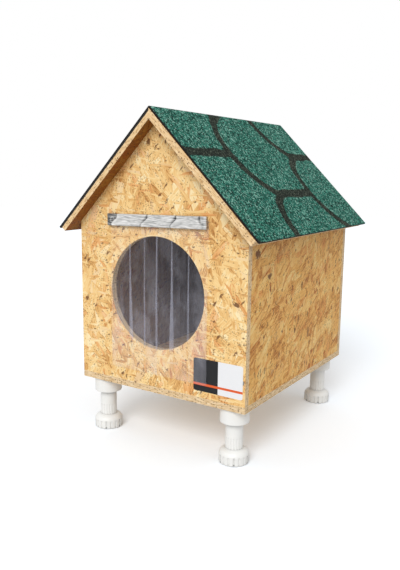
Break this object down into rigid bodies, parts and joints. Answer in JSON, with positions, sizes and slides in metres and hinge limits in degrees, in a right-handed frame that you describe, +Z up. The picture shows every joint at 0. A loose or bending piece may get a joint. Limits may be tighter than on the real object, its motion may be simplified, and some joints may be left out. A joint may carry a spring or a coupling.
{
  "type": "cat house",
  "caption": "Free-standing cat house of strand board with a felted gable roof, a round doorway behind a clear strip curtain, and screw-adjustable feet.",
  "frame": {"origin": "on the ground under the middle of the roof's outline, half-way between the gable ends", "axes": "+Z up, the doorway faces -Y, +X to the right of someone facing the doorway"},
  "size_m": [0.4248, 0.49, 0.6065],
  "materials": {
    "strand_board": "raw strand board, matt",
    "roof_felt": "mineral granules on bitumen",
    "batten": "carved, silver-grey wash",
    "clear_sheet": "clear soft sheet",
    "label": "satin sticker",
    "screw_steel": "plain zinc",
    "white_plastic": "moulded, satin"
  },
  "bodies": {
    "house": {"floor_panel": "strand_board", "front_wall": "strand_board", "back_wall": "strand_board", "left_wall": "strand_board", "right_wall": "strand_board", "roof_panel_left": "strand_board", "roof_panel_right": "strand_board", "roof_felt": "roof_felt", "door_batten": "batten", "curtain_header": "clear_sheet", "blank_label": "label", "wall_screw": "screw_steel", "leg_cup_front_left": "white_plastic", "leg_tube_front_left": "white_plastic", "leg_screw_front_left": "screw_steel", "leg_cup_front_right": "white_plastic", "leg_tube_front_right": "white_plastic", "leg_screw_front_right": "screw_steel", "leg_cup_back_left": "white_plastic", "leg_tube_back_left": "white_plastic", "leg_screw_back_left": "screw_steel", "leg_cup_back_right": "white_plastic", "leg_tube_back_right": "white_plastic", "leg_screw_back_right": "screw_steel"},
    "strip_1": {"curtain_strip_1": "clear_sheet"},
    "strip_2": {"curtain_strip_2": "clear_sheet"},
    "strip_3": {"curtain_strip_3": "clear_sheet"},
    "strip_4": {"curtain_strip_4": "clear_sheet"},
    "strip_5": {"curtain_strip_5": "clear_sheet"},
    "strip_6": {"curtain_strip_6": "clear_sheet"},
    "stem_front_left": {"foot_stem_front_left": "white_plastic"},
    "adjuster_front_left": {"foot_front_left": "white_plastic"},
    "stem_front_right": {"foot_stem_front_right": "white_plastic"},
    "adjuster_front_right": {"foot_front_right": "white_plastic"},
    "stem_back_left": {"foot_stem_back_left": "white_plastic"},
    "adjuster_back_left": {"foot_back_left": "white_plastic"},
    "stem_back_right": {"foot_stem_back_right": "white_plastic"},
    "adjuster_back_right": {"foot_back_right": "white_plastic"}
  },
  "joints": [
    {"name": "strip_swing_1", "type": "hinge", "parent": "house", "child": "strip_1", "pos_m": [0, -0.22015, 0.4019], "axis": [-1, 0, 0], "range_deg": [0, 80]},
    {"name": "strip_swing_2", "type": "hinge", "parent": "house", "child": "strip_2", "pos_m": [0, -0.22015, 0.40282], "axis": [-1, 0, 0], "range_deg": [0, 80]},
    {"name": "strip_swing_3", "type": "hinge", "parent": "house", "child": "strip_3", "pos_m": [0, -0.22015, 0.40352], "axis": [-1, 0, 0], "range_deg": [0, 80]},
    {"name": "strip_swing_4", "type": "hinge", "parent": "house", "child": "strip_4", "pos_m": [0, -0.22015, 0.40414], "axis": [-1, 0, 0], "range_deg": [0, 80]},
    {"name": "strip_swing_5", "type": "hinge", "parent": "house", "child": "strip_5", "pos_m": [0, -0.22015, 0.40484], "axis": [-1, 0, 0], "range_deg": [0, 80]},
    {"name": "strip_swing_6", "type": "hinge", "parent": "house", "child": "strip_6", "pos_m": [0, -0.22015, 0.4055], "axis": [-1, 0, 0], "range_deg": [0, 80]},
    {"name": "foot_lift_front_left", "type": "slide", "parent": "house", "child": "stem_front_left", "axis": [0, 0, -1], "range_m": [0, 0.02]},
    {"name": "foot_turn_front_left", "type": "hinge", "parent": "stem_front_left", "child": "adjuster_front_left", "pos_m": [-0.144, -0.189, 0], "axis": [0, 0, -1], "range_deg": [0, 1800]},
    {"name": "foot_lift_front_right", "type": "slide", "parent": "house", "child": "stem_front_right", "axis": [0, 0, -1], "range_m": [0, 0.02]},
    {"name": "foot_turn_front_right", "type": "hinge", "parent": "stem_front_right", "child": "adjuster_front_right", "pos_m": [0.144, -0.189, 0], "axis": [0, 0, -1], "range_deg": [0, 1800]},
    {"name": "foot_lift_back_left", "type": "slide", "parent": "house", "child": "stem_back_left", "axis": [0, 0, -1], "range_m": [0, 0.02]},
    {"name": "foot_turn_back_left", "type": "hinge", "parent": "stem_back_left", "child": "adjuster_back_left", "pos_m": [-0.144, 0.181, 0], "axis": [0, 0, -1], "range_deg": [0, 1800]},
    {"name": "foot_lift_back_right", "type": "slide", "parent": "house", "child": "stem_back_right", "axis": [0, 0, -1], "range_m": [0, 0.02]},
    {"name": "foot_turn_back_right", "type": "hinge", "parent": "stem_back_right", "child": "adjuster_back_right", "pos_m": [0.144, 0.181, 0], "axis": [0, 0, -1], "range_deg": [0, 1800]}
  ],
  "couplings": [
    {"joint": "foot_lift_front_left", "follows": "foot_turn_front_left", "m_per_rad": 0.0006366},
    {"joint": "foot_lift_front_right", "follows": "foot_turn_front_right", "m_per_rad": 0.0006366},
    {"joint": "foot_lift_back_left", "follows": "foot_turn_back_left", "m_per_rad": 0.0006366},
    {"joint": "foot_lift_back_right", "follows": "foot_turn_back_right", "m_per_rad": 0.0006366}
  ]
}
